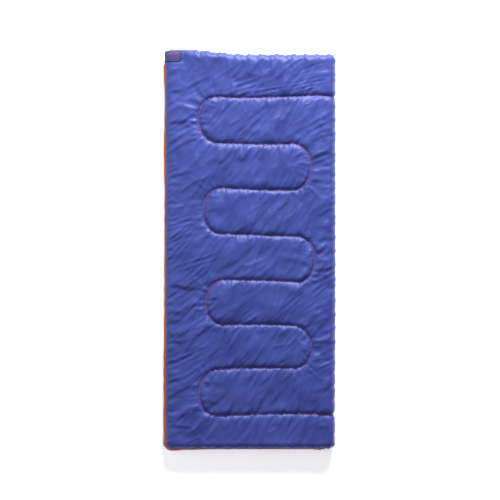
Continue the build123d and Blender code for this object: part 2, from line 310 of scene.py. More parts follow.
def seam_distance(x, y):
    """The distance of each place from the seam, how far along it the nearest point is, and how level the
    seam runs there: one along a straight row, zero where a turn runs up the bag."""
    line = seam_line(SEAM_STEP).astype(np.float32)
    steps = np.diff(line, axis=0)
    lengths = np.linalg.norm(steps, axis=1)
    along = np.concatenate([[0], np.cumsum(lengths)])
    level = np.concatenate([(steps[:, 0] / lengths) ** 2, [1.0]])
    flat = np.stack([np.ravel(x), np.ravel(y)], 1).astype(np.float32)
    best = np.full(len(flat), 9.0, np.float32)
    where = np.zeros(len(flat), np.int32)
    for start in range(0, len(line), 100):
        part = line[start : start + 101]
        near = (flat[:, 1] > part[:, 1].min() - 0.2) & (flat[:, 1] < part[:, 1].max() + 0.2)
        index = np.flatnonzero(near)
        square = (flat[index, 0][:, None] - part[:, 0]) ** 2 + (flat[index, 1][:, None] - part[:, 1]) ** 2
        nearest = square.argmin(1)
        distance = np.sqrt(square[np.arange(len(index)), nearest])
        closer = distance < best[index]
        best[index[closer]] = distance[closer]
        where[index[closer]] = start + nearest[closer]
    return best.reshape(x.shape), along[where].reshape(x.shape), level[where].reshape(x.shape)


seam_steps = np.diff(seam_line(SEAM_STEP), axis=0)
print("seam length", round(float(np.linalg.norm(seam_steps, axis=1).sum()), 3), "m")

# %% [markdown]
# ## The lie of the quilt before it puckers
# A filled quilt is a smooth pillow between its seams: low at the edges and along the quilting, and high
# between. This is the surface that the wadding pushes the cloth out to. The outline isn't quite square:
# the head edge is drawn up past the tab, and the fold gives a little at each end of the quilting.

# %% Outline and loft
EDGE_ROLL = 38 * MM
SEAM_Z = 68.0 * MM
CROWN_Z = 79.0 * MM
CORNER = 28 * MM
CROWN_UNDER_TAB_Z = 73.0 * MM
HIGHEST_FOLD_Z = 87 * MM
TAB_EDGE_X = -0.316
TAB_EDGE_Y = 0.884


def outline_shift(x, y):
    """How far the drawn-up head and foot edges, the slack fold and the quilt's own slight sway move each
    point of the plain outline."""
    wave = np.cos(x * 97 + 1.1 * np.sin(x * 23)) + 0.5 * np.cos(x * 231 + 2)
    head = -22 * MM * smooth((x + 0.31) / 0.3) * smooth((y - 0.70) / 0.22)
    head = head + 2.4 * MM * wave * smooth((y - 0.88) / 0.05) * smooth((x + 0.30) / 0.05)
    wave = np.cos(x * 113 + 1.4 * np.sin(x * 31)) + 0.5 * np.cos(x * 257 + 1)
    foot = 1.0 * MM * (wave + 1.5) * smooth((-y - 0.89) / 0.05) * smooth((x + 0.38) / 0.05)
    wave = np.cos(y * 83 + 1.3 * np.sin(y * 19)) + 0.6 * np.cos(y * 191 + 1)
    fold = 1.1 * MM * (wave - 1.2) - 3 * MM * smooth((-y - 0.25) / 0.5)
    notch = np.exp(-(((y - row_ys[0]) / 0.013) ** 2)) + np.exp(-(((y - row_ys[-1]) / 0.013) ** 2))
    fold = (fold - 5.5 * MM * notch) * smooth((x - 0.33) / 0.07)
    inside = smooth((0.40 - np.abs(x)) / 0.12) * smooth((0.93 - np.abs(y)) / 0.1)
    sway_x = 4 * MM * np.sin(5 * x - 7 * y + 0.6) * inside
    sway_y = 6 * MM * np.sin(7.5 * x + 3 * y + 2.6) * inside
    return fold + sway_x, head + foot + sway_y


def edge_rise(distance, reach):
    """A quarter round: the height share at a distance from the edge."""
    t = np.clip(distance / reach, 0, 1)
    return np.sqrt(np.clip(1 - (1 - t) ** 2.3, 0, 1))


def round_corners(x, y, low_x, low_y, high_x, high_y, radius):
    """Draws the square corners of a grid in to round ones, by scaling each corner's square to a disc."""
    centre_x = np.clip(x, low_x + radius, high_x - radius)
    centre_y = np.clip(y, low_y + radius, high_y - radius)
    dx, dy = x - centre_x, y - centre_y
    length = np.maximum(np.hypot(dx, dy), 1e-9)
    scale = np.maximum(np.abs(dx), np.abs(dy)) / length
    corner = (np.abs(dx) > 0) & (np.abs(dy) > 0)
    scale = np.where(corner, scale, 1.0)
    return centre_x + dx * scale, centre_y + dy * scale


def upper_grid(spacing_x, spacing_y):
    """Columns and rows of the upper sheet. They crowd at the edges, and rows fall on the quilting rows."""
    edge = np.array([0, 0.6, 2.4, 5.5, 9.5, 14.0, 19.0]) * MM
    low_x, high_x = shell_low.x, FOLD_X
    low_y, high_y = shell_low.y, shell_high.y
    count = int((high_x - low_x - 2 * edge[-1]) / spacing_x)
    middle = np.linspace(low_x + edge[-1], high_x - edge[-1], count)
    columns = np.concatenate([low_x + edge[:-1], middle, (high_x - edge[:-1])[::-1]])
    stops = [low_y + edge[-1], *row_ys[::-1], high_y - edge[-1]]
    rows = [low_y + edge[:-1]]
    for start, end in zip(stops[:-1], stops[1:]):
        rows.append(np.linspace(start, end, max(2, round((end - start) / spacing_y)), endpoint=False))
    rows.append(np.array([stops[-1]]))
    rows.append((high_y - edge[:-1])[::-1])
    return columns, np.concatenate(rows)


def lie_of_upper(columns, rows):
    """The smooth pillow of the upper half: points, then seam distance, place along the seam, how level the
    seam is there, and the height share that the edges leave."""
    x, y = np.meshgrid(columns, rows)
    distance, along, level = seam_distance(x, y)
    from_zip = x - shell_low.x
    rise = 0.62 * edge_rise(from_zip, EDGE_ROLL) + 0.38 * np.sin(math.pi / 2 * np.clip(from_zip / 0.13, 0, 1))
    rise = rise * edge_rise(y - shell_low.y, EDGE_ROLL)
    rise = rise * edge_rise(FOLD_X - x, EDGE_ROLL) * edge_rise(HEAD_Y - y, EDGE_ROLL)
    zip_seam = MID_Z + SEAM_ABOVE_ZIP
    near_fold = smooth((x - 0.355) / 0.035)
    near_head = smooth((y - 0.905) / 0.03)
    base = zip_seam + (UPPER_LINING_Z + 1 * MM - zip_seam) * near_head
    base = base + (MID_Z - base) * near_fold
    puff = 0.28 * (1 - np.exp(-distance / (7 * MM))) + 0.72 * (1 - np.exp(-distance / (52 * MM)))
    crown = SEAM_Z + (CROWN_Z - SEAM_Z) * puff
    under_tab = smooth((TAB_EDGE_X + 0.02 - x) / 0.02) * smooth((y - TAB_EDGE_Y + 0.01) / 0.02)
    crown = crown + (CROWN_UNDER_TAB_Z - crown) * under_tab
    z = base + (crown - base) * rise
    px, py = round_corners(x, y, shell_low.x, shell_low.y, FOLD_X, HEAD_Y, CORNER)
    shift_x, shift_y = outline_shift(px, py)
    return np.stack([px + shift_x, py + shift_y, z], -1), distance, along, level, rise


# %% [markdown]
# ## The cloth's pull: a small cloth solver
# A quilt's cloth is cut larger than the place it is sewn into, and the seams take it up. Blender's Cloth
# would do this too, but a grid of links that are pulled to length in turn is quicker here and gives the
# same folds every time. Each link between neighbours is a few percent too long, every seam is held,
# and the wadding pushes back like a soft bed, so the spare cloth has to stand up in folds. It runs on a
# coarse grid first: the long folds take up most of the spare cloth there, and a finer grid adds the rest.
# The pull is short, and the sharpest creases are laid on after it, because more of it smooths them away.


# %% Cloth solver
def links_of(rows, columns):
    """Every kind of link in the grid, in groups where no point is used twice: slices, stiffness, kind."""
    every = slice(None)
    groups = []
    for start in (0, 1):
        groups.append(((every, slice(start, columns - 1, 2)), (every, slice(start + 1, columns, 2)), 1.0, 0))
        groups.append(((slice(start, rows - 1, 2), every), (slice(start + 1, rows, 2), every), 1.0, 1))
        down, up = slice(start, rows - 1, 2), slice(start + 1, rows, 2)
        groups.append(((down, slice(0, columns - 1)), (up, slice(1, columns)), 0.4, 2))
        groups.append(((down, slice(1, columns)), (up, slice(0, columns - 1)), 0.4, 2))
    reach, bend = 2, 0.22
    for start in range(4):
        first, second = slice(start, columns - reach, 4), slice(start + reach, columns, 4)
        groups.append(((every, first), (every, second), bend, 0))
        first, second = slice(start, rows - reach, 4), slice(start + reach, rows, 4)
        groups.append(((first, every), (second, every), bend, 1))
    return groups


def relax(points, bed, spare_x, spare_y, freedom, push, smoothing, turns):
    """Pulls every link towards its length on the bed times one plus its spare share, again and again,
    while each point is drawn back to the bed by the share in push. Smoothing evens out the folds a little
    at each turn, which stands for the cloth's stiffness. Freedom is 0 where a seam holds."""
    cloth = points.astype(np.float32).copy()
    bed = bed.astype(np.float32)
    freedom = freedom.astype(np.float32)
    push = (push * (freedom > 0)[..., None]).astype(np.float32)
    spares = (spare_x, spare_y, (spare_x + spare_y) / 2)
    groups = []
    for first, second, stiffness, kind in links_of(*cloth.shape[:2]):
        spare = 1 + (spares[kind][first] + spares[kind][second]) / 2
        length = (np.linalg.norm(bed[first] - bed[second], axis=-1) * spare).astype(np.float32)
        share = freedom[first] + freedom[second]
        share = np.where(share > 0, stiffness / np.maximum(share, 1e-6), 0).astype(np.float32)
        groups.append((first, second, length, share * freedom[first], share * freedom[second]))
    for _ in range(turns):
        for first, second, length, move_first, move_second in groups:
            apart = cloth[second] - cloth[first]
            reach = np.sqrt(np.einsum("...k,...k->...", apart, apart)) + 1e-9
            error = 1 - length / reach
            cloth[first] += apart * (error * move_first)[..., None]
            cloth[second] -= apart * (error * move_second)[..., None]
        cloth += (bed - cloth) * push
        for turned in (False, True):
            layers = [a.swapaxes(0, 1) if turned else a for a in (cloth, bed, freedom)]
            off = layers[0] - layers[1]
            soft = off[1:-1] * 0.5 + (off[:-2] + off[2:]) * 0.25
            layers[0][1:-1] += (soft - off[1:-1]) * (smoothing * layers[2][1:-1])[..., None]
    return cloth


def between(values, i, j):
    """The value of a grid at fractional columns i and rows j, by straight-line interpolation."""
    i0 = np.clip(i.astype(int), 0, values.shape[1] - 2)
    j0 = np.clip(j.astype(int), 0, values.shape[0] - 2)
    u, v = (i - i0)[..., None], (j - j0)[..., None]
    near = values[j0, i0] * (1 - u) + values[j0, i0 + 1] * u
    far = values[j0 + 1, i0] * (1 - u) + values[j0 + 1, i0 + 1] * u
    return near * (1 - v) + far * v


def resample(values, old_columns, old_rows, new_columns, new_rows):
    """Values on one grid carried over to another."""
    column = np.interp(new_columns, old_columns, np.arange(len(old_columns)))
    row = np.interp(new_rows, old_rows, np.arange(len(old_rows)))
    return between(values, column[None, :], row[:, None])


# %% [markdown]
# ## Where the folds start
# Cloth needs a slight unevenness to choose its folds. Long slack folds lean from lower left to upper
# right, short puckers stand square to the seams, and folds fan out from each left turn to the zip.


# %% Seeds of the folds
def add_folds(heights, columns, rows, folds):
    """Adds folds to a height grid. Each fold starts narrow at a place, runs one way and widens, and its
    cross-section is a bell that is steeper on one side: exp(-|s / width| ** 1.4)."""
    for start_x, start_y, turn, length, narrow, wide, height, skew in folds:
        cos_turn, sin_turn = math.cos(turn), math.sin(turn)
        end_x, end_y = start_x + cos_turn * length, start_y + sin_turn * length
        i0, i1 = np.searchsorted(columns, (min(start_x, end_x) - 4 * wide, max(start_x, end_x) + 4 * wide))
        j0, j1 = np.searchsorted(rows, (min(start_y, end_y) - 4 * wide, max(start_y, end_y) + 4 * wide))
        dx = columns[None, i0:i1] - start_x
        dy = rows[j0:j1, None] - start_y
        t = (dx * cos_turn + dy * sin_turn) / length
        s = dy * cos_turn - dx * sin_turn + skew * length * t * (1 - t)
        width = narrow + (wide - narrow) * np.clip(t, 0, 1)
        side = 1 + 0.62 * np.sign(s) * np.sign(skew)
        fade = smooth(t / 0.18) * (1 - smooth((t - 0.35) / 0.65))
        heights[j0:j1, i0:i1] += height * fade * np.exp(-(np.abs(s * side / width) ** 1.4))
    return heights


def seam_folds(seed, *sizes_mm):
    """Folds on both sides of the seam, leaning from lower left to upper right. The sizes are the spacing, the
    shortest and longest fold, its width at each end and its height."""
    spacing, short, long, narrow, wide, height = np.array(sizes_mm) * MM
    rng = np.random.default_rng(seed)
    line = seam_line(SEAM_STEP)
    steps = np.diff(line, axis=0)
    folds = []
    for side in (1, -1):
        place = rng.uniform(0, spacing)
        while place < len(steps) * SEAM_STEP:
            k = min(int(place / SEAM_STEP), len(steps) - 1)
            square = math.atan2(steps[k, 1], steps[k, 0]) + side * math.pi / 2
            if abs(math.cos(square)) < 0.5:
                lean = -rng.normal(0.40, 0.26)
            else:
                lean = rng.normal(0.0, 0.3) + 0.25 * math.copysign(1, math.cos(square))
            length = short + (long - short) * rng.random() ** 2.6
            size = height * (0.35 + 0.65 * rng.random()) * (0.6 + 0.4 * (length - short) / (long - short))
            share = wide * (0.45 + 0.55 * (length - short) / (long - short)) * rng.uniform(0.7, 1.25)
            folds.append((*line[k], square + lean, length, narrow, share, size, rng.normal(0, 0.16)))
            place += spacing * rng.uniform(0.45, 1.6)
    return folds


def edge_folds(seed, *sizes_mm):
    """Folds that run into the quilt from the zip, the fold, the head edge and the foot edge, with the same
    sizes as seam_folds."""
    spacing, short, long, narrow, wide, height = np.array(sizes_mm) * MM
    rng = np.random.default_rng(seed)
    left, right, foot = shell_low.x + 6 * MM, FOLD_X - 6 * MM, shell_low.y + 6 * MM
    head = HEAD_Y - 6 * MM
    edges = (
        ((left, foot), (left, head), 0.45, 1.0),
        ((right, foot), (right, head), math.pi + 0.45, 0.8),
        ((left, head), (right, head), -math.pi / 2 - 0.35, 1.0),
        ((left, foot), (right, foot), math.pi / 2 - 0.35, 0.8),
    )
    folds = []
    for (x0, y0), (x1, y1), turn, share in edges:
        reach = math.hypot(x1 - x0, y1 - y0)
        place = rng.uniform(0, spacing)
        while place < reach:
            t = place / reach
            length = (short + (long - short) * rng.random() ** 2.2) * share
            size = height * rng.uniform(0.4, 1.1)
            lean = rng.normal(0, 0.3)
            width = wide * rng.uniform(0.5, 1.2)
            start = (x0 + (x1 - x0) * t, y0 + (y1 - y0) * t)
            folds.append((*start, turn + lean, length, narrow, width, size, rng.normal(0, 0.15)))
            place += spacing * rng.uniform(0.5, 1.6)
    return folds


def slack_folds(seed, count, *sizes_mm):
    """Folds inside the channels, where the quilt was laid down with a little slack. The sizes are the
    shortest and longest fold and its height."""
    shortest, longest, height = np.array(sizes_mm) * MM
    rng = np.random.default_rng(seed)
    folds = []
    for _ in range(count):
        place = (rng.uniform(-0.36, 0.34), rng.uniform(-0.9, 0.86))
        turn = rng.normal(0.95, 0.24)
        length = rng.uniform(shortest, longest)
        width = length * rng.uniform(0.06, 0.11)
        size, skew = height * rng.uniform(0.4, 1), rng.normal(0, 0.2)
        folds.append((*place, turn, length, 0.4 * width, width, size, skew))
    return folds


def parallel_folds(heights, columns, rows, seed, count, height):
    """Groups of parallel creases, as a tight seam leaves them. One group is a ridged wave in a soft window:
    exp(-(t / long) ** 2 - (s / wide) ** 2) * (0.6 - |sin(pi s / spacing)| ** 0.8), t along the crease."""
    rng = np.random.default_rng(seed)
    for _ in range(count):
        centre_x, centre_y = rng.uniform(-0.39, 0.39), rng.uniform(-0.93, 0.93)
        margin = centre_x < -0.24 or centre_x > 0.30 or centre_y > 0.74
        turn = rng.normal(0.62 if margin else 1.08, 0.2)
        long, wide = rng.uniform(45, 100) * MM, rng.uniform(20, 40) * MM
        spacing = rng.uniform(19, 36) * MM
        reach = 2 * max(long, wide)
        i0, i1 = np.searchsorted(columns, (centre_x - reach, centre_x + reach))
        j0, j1 = np.searchsorted(rows, (centre_y - reach, centre_y + reach))
        dx, dy = columns[None, i0:i1] - centre_x, rows[j0:j1, None] - centre_y
        t = dx * math.cos(turn) + dy * math.sin(turn)
        s = dy * math.cos(turn) - dx * math.sin(turn)
        window = np.exp(-((t / long) ** 2) - (s / wide) ** 2)
        s = s * (1 + rng.normal(0, 0.25) * t / long) + rng.uniform(0, spacing)
        ridges = 0.6 - np.abs(np.sin(math.pi * s / spacing)) ** 0.8
        heights[j0:j1, i0:i1] += height * rng.uniform(0.4, 1.2) * window * ridges
    return heights


# %% Upper cloth: two grids, the second finer
SPACINGS = ((8.5 * MM, 8.8 * MM), (5.15 * MM, 5.45 * MM))
TURNS = ((22, 10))


def held_places(distance):
    """One where the cloth is free, and zero on its edges and on the quilting seam."""
    free = smooth((distance - 1.6 * MM) / (5 * MM))
    free[0, :] = free[-1, :] = 0
    free[:, 0] = free[:, -1] = 0
    return free


def spare_cloth(x, y, distance, level):
    """The share of spare cloth along the bag's width and along its length. A seam takes up cloth along
    its own line, so the rows take it up across the bag and the turns, zip and fold take it up lengthways."""
    seam = np.exp(-distance / (85 * MM))
    ends = np.exp(-(HEAD_Y - y) / (70 * MM)) + np.exp(-(y - shell_low.y) / (60 * MM))
    sides = np.exp(-(x - shell_low.x) / (80 * MM)) + 0.8 * np.exp(-(FOLD_X - x) / (60 * MM))
    spare_x = 0.012 + 0.036 * seam * level + 0.030 * ends
    spare_y = 0.010 + 0.036 * seam * (1 - level) + 0.034 * sides
    tab = smooth((TAB_EDGE_X + 0.03 - x) / 0.03) * smooth((y - TAB_EDGE_Y + 0.03) / 0.03)
    return spare_x * (1 - tab), spare_y * (1 - tab), 1 - tab


carried = None
for (spacing_x, spacing_y), turns in zip(SPACINGS, TURNS):
    columns, rows = upper_grid(spacing_x, spacing_y)
    bed, distance, along, level, rise = lie_of_upper(columns, rows)
    x, y = np.meshgrid(columns, rows)
    spare_x, spare_y, clear = spare_cloth(x, y, distance, level)
    free = held_places(distance)
    start = np.zeros_like(bed) if carried is None else resample(carried, old_columns, old_rows, columns, rows)
    fine = spacing_x < 6 * MM
    heights = np.zeros(x.shape)
    if fine:
        folds = seam_folds(5, 10, 16, 55, 3.2, 6.5, 1.7) + slack_folds(7, 420, 35, 90, 1.9)
        folds += edge_folds(6, 15, 22, 60, 4, 8, 1.7)
    else:
        folds = seam_folds(1, 17, 50, 215, 7, 21, 6.0) + edge_folds(2, 28, 50, 200, 8, 19, 5.5)
        folds += slack_folds(3, 150, 90, 240, 5.5)
    add_folds(heights, columns, rows, folds)
    start[..., 2] += heights * clear * smooth(rise * 1.6 - 0.3)
    start *= smooth(free * 1.5)[..., None]
    push = np.full(bed.shape, 0.002)
    push[..., 2] = 0.003
    push = push + 0.05 * smooth(1.1 - rise * 1.3)[..., None] + 0.3 * (1 - clear)[..., None]
    smoothing = 0.05 if fine else 0.03
    upper = relax(bed + start, bed, spare_x, spare_y, free, push, smoothing, turns)
    carried, old_columns, old_rows = upper - bed, columns, rows
    print("cloth grid", upper.shape[:2], "folds stand", round(float(np.std(carried[..., 2])) * 1000, 2), "mm")
creases = np.zeros(x.shape)
add_folds(creases, columns, rows, slack_folds(8, 170, 70, 200, 4.2))
parallel_folds(creases, columns, rows, 10, 130, 3.8 * MM)
add_folds(creases, columns, rows, seam_folds(9, 10, 30, 110, 3, 7, 3.0))
upper[..., 2] += creases * clear * free * smooth(rise * 1.6 - 0.3)
upper[..., 2] = np.minimum(upper[..., 2], HIGHEST_FOLD_Z)
ABOVE_LINING = UPPER_LINING_Z + 0.3 * MM
upper[:, :-2, 2] = np.maximum(upper[:, :-2, 2], np.where(rise[:, :-2] > 0.02, ABOVE_LINING, upper[:, :-2, 2]))


def on_cloth(px, py):
    """Where the places (px, py) of the plain grid lie on the upper cloth now."""
    column = np.interp(px, columns, np.arange(len(columns)))
    row = np.interp(py, rows, np.arange(len(rows)))
    return between(upper, column, row)


# %% [markdown]
# ## The shell material
# The shell is a light polyester taffeta, calendered so that it has a satin sheen: smooth, a little
# shiny, with a fine plain weave. At this distance the eye sees the sheen, faint shade differences and
# the smallest crinkles. The thread spacing is drawn coarser than the real 0.1 mm so that it shows.


# %% Shell material
# Blender's wave texture repeats every 0.31 units at scale one.
WAVE = 0.31


def woven_cloth(name, dark, light, roughness, sheen, crinkle_height, thread_gap, tint):
    """Woven polyester: colour drift for worn shade, crinkle bump for the finest creases, a plain weave."""
    material, tree, shader = new_material(name)
    place = add_node(tree, "UVMap", uv_map="cloth")
    drift = add_node(tree, "TexNoise", [("Vector", place.outputs[0])], Scale=5.0, Detail=3.0, Roughness=0.5)
    colour = ramp(tree, drift.outputs[0], [(0.32, dark), (0.7, light)])
    stretched = add_node(tree, "Mapping", [("Vector", place.outputs[0])], Rotation=(0, 0, math.radians(-32)),
                         Scale=(1.0, 0.42, 1.0))
    crinkle = add_node(tree, "TexNoise", [("Vector", stretched.outputs[0])], Scale=60.0, Detail=3.5,
                       Roughness=0.55, Distortion=0.6)
    thread_scale = WAVE / thread_gap
    warp, weft = (
        add_node(tree, "TexWave", [("Vector", place.outputs[0])], bands_direction=way, Scale=thread_scale)
        for way in ("X", "Y")
    )
    weave = add_node(tree, "Math", [(0, warp.outputs["Fac"]), (1, weft.outputs["Fac"])], operation="MULTIPLY")
    soft = add_node(tree, "Bump", [("Height", crinkle.outputs[0])], Strength=0.6, Distance=crinkle_height)
    fine = add_node(tree, "Bump", [("Height", weave.outputs[0]), ("Normal", soft.outputs[0])], Strength=0.12,
                    Distance=0.15 * MM)
    tree.links.new(colour.outputs[0], shader.inputs["Base Color"])
    tree.links.new(fine.outputs[0], shader.inputs["Normal"])
    set_sockets(shader, Roughness=roughness, Specular_IOR_Level=0.36)
    set_sockets(shader, Sheen_Weight=sheen, Sheen_Roughness=0.35, Sheen_Tint=linear(tint))
    return material


# Satin sheen on a mid blue: the highlight is broad, and the valleys stay a deep navy.
blue_taffeta = woven_cloth(
    "calendered_blue_taffeta", "#2e3b83", "#3e4b98", 0.5, 0.15, 2.4 * MM, 1.6 * MM, "#aeb8ff"
)
# A brushed surface: hardly any shine, and a soft light edge from the raised fibres.
orange_lining = woven_cloth(
    "brushed_orange_lining", "#b8481f", "#cf5a2c", 0.85, 0.8, 1.2 * MM, 2.0 * MM, "#ffc9a8"
)

# %% [markdown]
# ## The shell: one sheet, folded at the right
# The shell runs from the zip over the top, round the fold and back underneath. The lower half is the
# upper one mirrored about the middle, pressed flat where it lies on the ground, and its zip edge stands
# out past the upper one.

# %% The zip's flare: how far the lower tape and hem stand out
SIDE_LENGTH = tape_high.y - ZIP_Y - ZIP_CORNER
CORNER_LENGTH = ZIP_CORNER * math.pi / 2
FOOT_START = SIDE_LENGTH + CORNER_LENGTH
FOOT_LENGTH = tape_high.x - ZIP_X - ZIP_CORNER
FLARE_AT = [0, 14, 60, 110, 190, 290, 390, 440, 600, 890, 1190, 1450, 1800, 1850, 1930, 2100, 2560]
FLARE_AT = np.array(FLARE_AT) * MM
FLARE = np.array([0.2, 7.5, 7.5, 4.6, 3.6, 4.8, 8.0, 7.5, 4.4, 5.2, 6.4, 9.5, 10.5, 10.0, 6.0, 3.0, 2.0]) * MM


def flare_at(along):
    """How far the lower tape's outer edge stands out, by the distance along the zip from its head end."""
    ripple = 0.7 * MM * np.sin(along * 61 + 2 * np.sin(along * 17)) * smooth(along / 0.05)
    return np.maximum(np.interp(along, FLARE_AT, FLARE) + ripple, 0.2 * MM)


def zip_place(along, outward, above):
    """Points on the zip's own L-shaped line: straight down the side, a quarter circle, along the foot."""
    along, outward, above = np.broadcast_arrays(along, outward, above)
    angle = np.clip((along - SIDE_LENGTH) / ZIP_CORNER, 0, math.pi / 2)
    centre_x, centre_y = ZIP_X + ZIP_CORNER, ZIP_Y + ZIP_CORNER
    radius = ZIP_CORNER + outward
    x_out = centre_x - radius * np.cos(angle) + np.clip(along - FOOT_START, 0, None)
    y_out = centre_y - radius * np.sin(angle) + np.clip(SIDE_LENGTH - along, 0, None)
    return np.stack([x_out, y_out, MID_Z + above], -1)


print("zip", round(SIDE_LENGTH, 3), "m side,", round(FOOT_LENGTH, 3), "m foot")

# %% Shell mesh
def thinned(count, last):
    """Every point near both edges of a grid, and every other one between, up to the last."""
    return np.concatenate([np.arange(8), np.arange(9, count - 8, 2), np.arange(count - 8, last)])


lower_columns = thinned(len(columns), len(columns) - 1)
lower = upper[:, lower_columns].copy()
lower_rise = rise[:, lower_columns]
grid_x, grid_y = x[:, lower_columns], y[:, lower_columns]
lower[..., 2] = 2 * MID_Z - lower[..., 2]
PRESS = 1.2 * MM
lower[..., 2] = PRESS * np.logaddexp(0, (lower[..., 2] - 0.4 * MM) / PRESS) + 0.2 * MM
lower[:, :-2, 2] = np.minimum(lower[:, :-2, 2], LOWER_LINING_Z - 0.3 * MM)
bulge = 4.5 * MM * np.sin(math.pi * np.clip(lower_rise, 0, 1))
side_out = flare_at(np.clip(tape_high.y - grid_y, 0, SIDE_LENGTH)) + 1.5 * MM
side_out = side_out * smooth((HEAD_Y - 0.055 - grid_y) / 0.02)
near_side = 1 - smooth((grid_x - shell_low.x) / (34 * MM))
foot_out = flare_at(FOOT_START + np.clip(grid_x - ZIP_X - ZIP_CORNER, 0, FOOT_LENGTH)) + 1.5 * MM
foot_out = foot_out * smooth((0.37 - grid_x) / 0.03)
near_foot = 1 - smooth((grid_y - shell_low.y) / (34 * MM))
under_lip = smooth((grid_y - 0.882) / 0.006) * near_side
corner_out = flare_at(SIDE_LENGTH + CORNER_LENGTH / 2) + 1.5 * MM
both = smooth((near_side - 0.6) / 0.4) * smooth((near_foot - 0.6) / 0.4)
side_out, foot_out = side_out + (corner_out - side_out) * both, foot_out + (corner_out - foot_out) * both
toward = np.maximum(np.hypot(near_side, near_foot), 1)
lower[..., 0] -= (side_out + bulge * (1 - under_lip)) * near_side / toward
inset_x = grid_x - shell_low.x
patch_wall = under_lip * (1 - smooth((grid_y - 0.926) / 0.014)) * (1 - smooth((inset_x - 9 * MM) / (16 * MM)))
lower[..., 0] -= 0.95 * inset_x * patch_wall
lower[..., 1] -= (foot_out + bulge) * near_foot / toward
shell_points = np.concatenate([upper, lower[:, ::-1]], axis=1)
lower_uv = np.stack([2 * FOLD_X - grid_x, grid_y], -1)[:, ::-1]
shell_uv = np.concatenate([np.stack([x, y], -1), lower_uv], axis=1)
shell_faces = grid_faces(shell_points.shape[0], shell_points.shape[1])
quilt_shell = make_mesh("quilt_shell", shell_points, shell_faces, uv=shell_uv)
dress(quilt_shell, blue_taffeta)
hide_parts("upper_shell", "lower_shell", "side_fold")
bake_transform(quilt_shell)
print("shell triangles", 2 * len(shell_faces), "lowest", round(float(lower[..., 2].min()) / MM, 2), "mm")

# %% [markdown]
# ## The lining
# The lining is a second sheet inside the fold. The quilting draws it into the wadding, so it has the same
# seam line as a groove. It keeps clear of the zip's pulls, which lie between the two halves.

# %% Lining mesh
LINING_GROOVE, LINING_GROOVE_WIDTH = 6 * MM, 13 * MM
lining_columns = np.arange(0, len(columns) - 4)
lining_rows = thinned(len(rows), len(rows))
pick = np.ix_(lining_rows, lining_columns)
lining_groove = LINING_GROOVE * np.exp(-distance / LINING_GROOVE_WIDTH)
groove = lining_groove[pick] + 0.05 * MM
wrinkle = np.abs(upper[..., 2] - bed[..., 2])[pick] * 0.45
lining_top = np.stack([upper[..., 0][pick], upper[..., 1][pick], UPPER_LINING_Z + groove + wrinkle], -1)
from_zip = np.minimum(x[pick] - shell_low.x, y[pick] - shell_low.y)
lift = (SEAM_ABOVE_ZIP - (UPPER_LINING_Z - MID_Z) - 1 * MM) * (1 - smooth(from_zip / (12 * MM)))
lining_top[..., 2] += lift * smooth((0.36 - x[pick]) / 0.03) * smooth((0.90 - y[pick]) / 0.02)
sewn = (np.minimum(from_zip, HEAD_Y - y[pick]) < 0.1 * MM) & (x[pick] < 0.37)
lining_top[..., 2] = np.where(sewn, upper[..., 2][pick] - 0.1 * MM, lining_top[..., 2])
lining_top[-1, :, 1] -= 0.5 * MM
lining_top[0, :, 1] += 0.5 * MM
lining_top[:, 0, 0] += 0.3 * MM
last = lining_top[:, -1]
arc_radius = UPPER_LINING_Z - MID_Z
arc = []
for angle in np.linspace(0, math.pi, 9):
    step = np.stack([last[:, 0] + arc_radius * math.sin(angle) * 0.9, last[:, 1], last[:, 2]], -1)
    drop = (last[:, 2] - MID_Z) * math.cos(angle)
    step[:, 2] = MID_Z + drop
    arc.append(step)
arc = np.stack(arc, 1)
mirrored = lining_top.copy()
mirrored[..., 2] = 2 * MID_Z - mirrored[..., 2]
lining_points = np.concatenate([lining_top[:, :-1], arc, mirrored[:, -2::-1]], axis=1)
across = np.linspace(0, 1, lining_points.shape[1]) * 1.62
lining_uv = np.stack(np.broadcast_arrays(across[None, :], y[pick][:, :1]), -1)
lining_faces = grid_faces(*lining_points.shape[:2])[:, ::-1]
quilt_lining = make_mesh("quilt_lining", lining_points, lining_faces, uv=lining_uv)
dress(quilt_lining, orange_lining)
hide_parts("upper_lining", "lower_lining")
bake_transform(quilt_lining)
lining_gap = float(lining_top[..., 2].min() - mirrored[..., 2].max())
print("lining points", lining_points.shape, "gap", round(lining_gap / MM, 2), "mm")

# %% [markdown]
# ## The wadding
# Each half is filled with hollow-fibre wadding. It never shows while the seams are closed, but it is a
# piece of its own, so it is made as a closed pad that lies just inside the shell and the lining.

# %% Wadding material and pads
wadding_material, wadding_tree, wadding_shader, wadding_noise = speckled(
    "white_hollow_fibre_wadding", "#d8d8d2", "#f6f6f2", 1.0, 160.0, 5.0
)
add_bump(wadding_tree, wadding_shader, wadding_noise.outputs[0], 0.7, 2 * MM)


def pad_mesh(name, top, bottom):
    """A closed pad from a top grid and a bottom grid, whose border points meet half way between."""
    height, width = top.shape[:2]
    middle = (top + bottom) / 2
    for edge in (np.s_[0, :], np.s_[-1, :], np.s_[:, 0], np.s_[:, -1]):
        top[edge] = middle[edge]
    top_faces = grid_faces(height, width)
    inner = np.zeros((height, width), np.int64)
    inner[1:-1, 1:-1] = np.arange((height - 2) * (width - 2)).reshape(height - 2, width - 2) + height * width
    number = np.arange(height * width).reshape(height, width)
    for edge in (np.s_[0, :], np.s_[-1, :], np.s_[:, 0], np.s_[:, -1]):
        inner[edge] = number[edge]
    bottom_faces = inner.ravel()[top_faces][:, ::-1]
    points = np.concatenate([top.reshape(-1, 3), bottom[1:-1, 1:-1].reshape(-1, 3)])
    return make_mesh(name, points, np.concatenate([top_faces, bottom_faces]))


